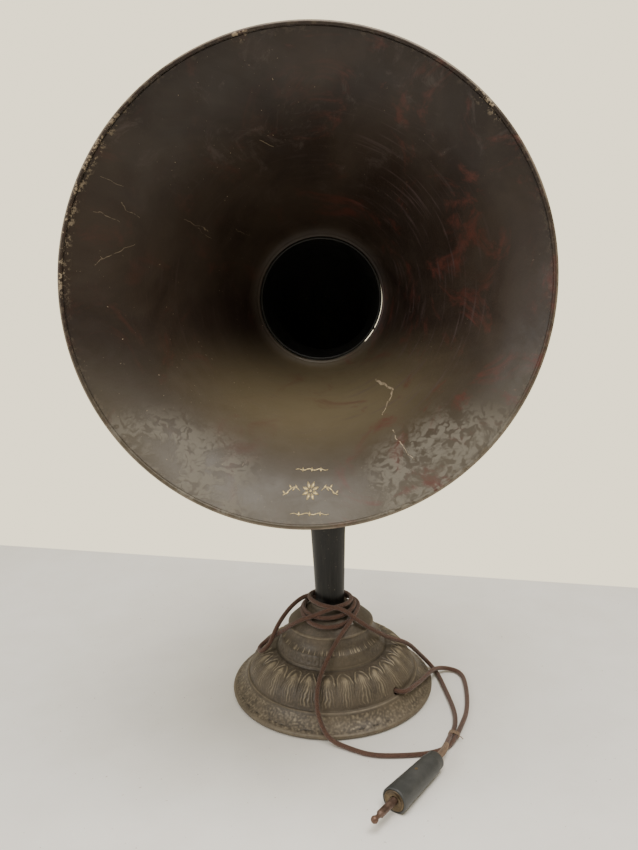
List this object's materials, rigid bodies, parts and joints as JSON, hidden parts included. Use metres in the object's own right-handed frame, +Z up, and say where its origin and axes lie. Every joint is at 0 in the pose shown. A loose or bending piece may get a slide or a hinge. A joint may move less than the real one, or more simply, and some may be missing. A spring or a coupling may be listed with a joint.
{
  "type": "horn loudspeaker",
  "caption": "Table-top horn loudspeaker: a wide enamelled bell on a curved neck that turns in a round cast base, with a braided cord and plug.",
  "frame": {"origin": "middle of the felt foot's underside, where the horn stands on the table", "axes": "+Z up along the neck's axis, the bell opens towards -Y, +X to the right of someone facing the bell"},
  "size_m": [0.3682, 0.3489, 0.6097],
  "materials": {
    "bronzed_iron": "satin",
    "plain_steel": "satin",
    "felt": "matte",
    "black_enamel": "gloss",
    "fibre": "matte",
    "magnet_steel": "satin",
    "copper_wire": "satin",
    "hard_rubber": "satin",
    "brass": "satin",
    "soft_rubber": "matte",
    "brown_enamel": "gloss",
    "brown_braid": "matte",
    "string": "matte"
  },
  "bodies": {
    "base": {"base_casting": "bronzed_iron", "bottom_plate": "plain_steel", "felt_foot": "felt", "base_screws": "plain_steel", "neck_set_screw": "plain_steel", "driver_case": "black_enamel", "lower_gasket": "fibre", "upper_gasket": "fibre", "diaphragm": "plain_steel", "driver_cap": "black_enamel", "cap_screws": "plain_steel", "driver_screws": "plain_steel", "magnet": "magnet_steel", "pole_pieces": "magnet_steel", "bobbins": "fibre", "windings": "copper_wire", "terminal_block": "hard_rubber", "terminal_screws": "brass", "neck_gasket": "soft_rubber", "cord_lead": "brown_braid", "cord_bight": "brown_braid", "cord_tail": "brown_braid", "cord_coil": "brown_braid", "cord_tie": "string", "inner_knot": "brown_braid", "inner_lead": "brown_braid", "plug_shell": "hard_rubber", "plug_disc": "brass", "plug_pin": "brass", "plug_screw": "brass"},
    "horn": {"gooseneck": "black_enamel", "bell": "brown_enamel", "rim_wire": "plain_steel", "bell_screws": "plain_steel"}
  },
  "joints": [
    {"name": "horn_turn", "type": "hinge", "parent": "base", "child": "horn", "pos_m": [0, 0, 0.08], "axis": [0, 0, 1], "continuous": true}
  ]
}
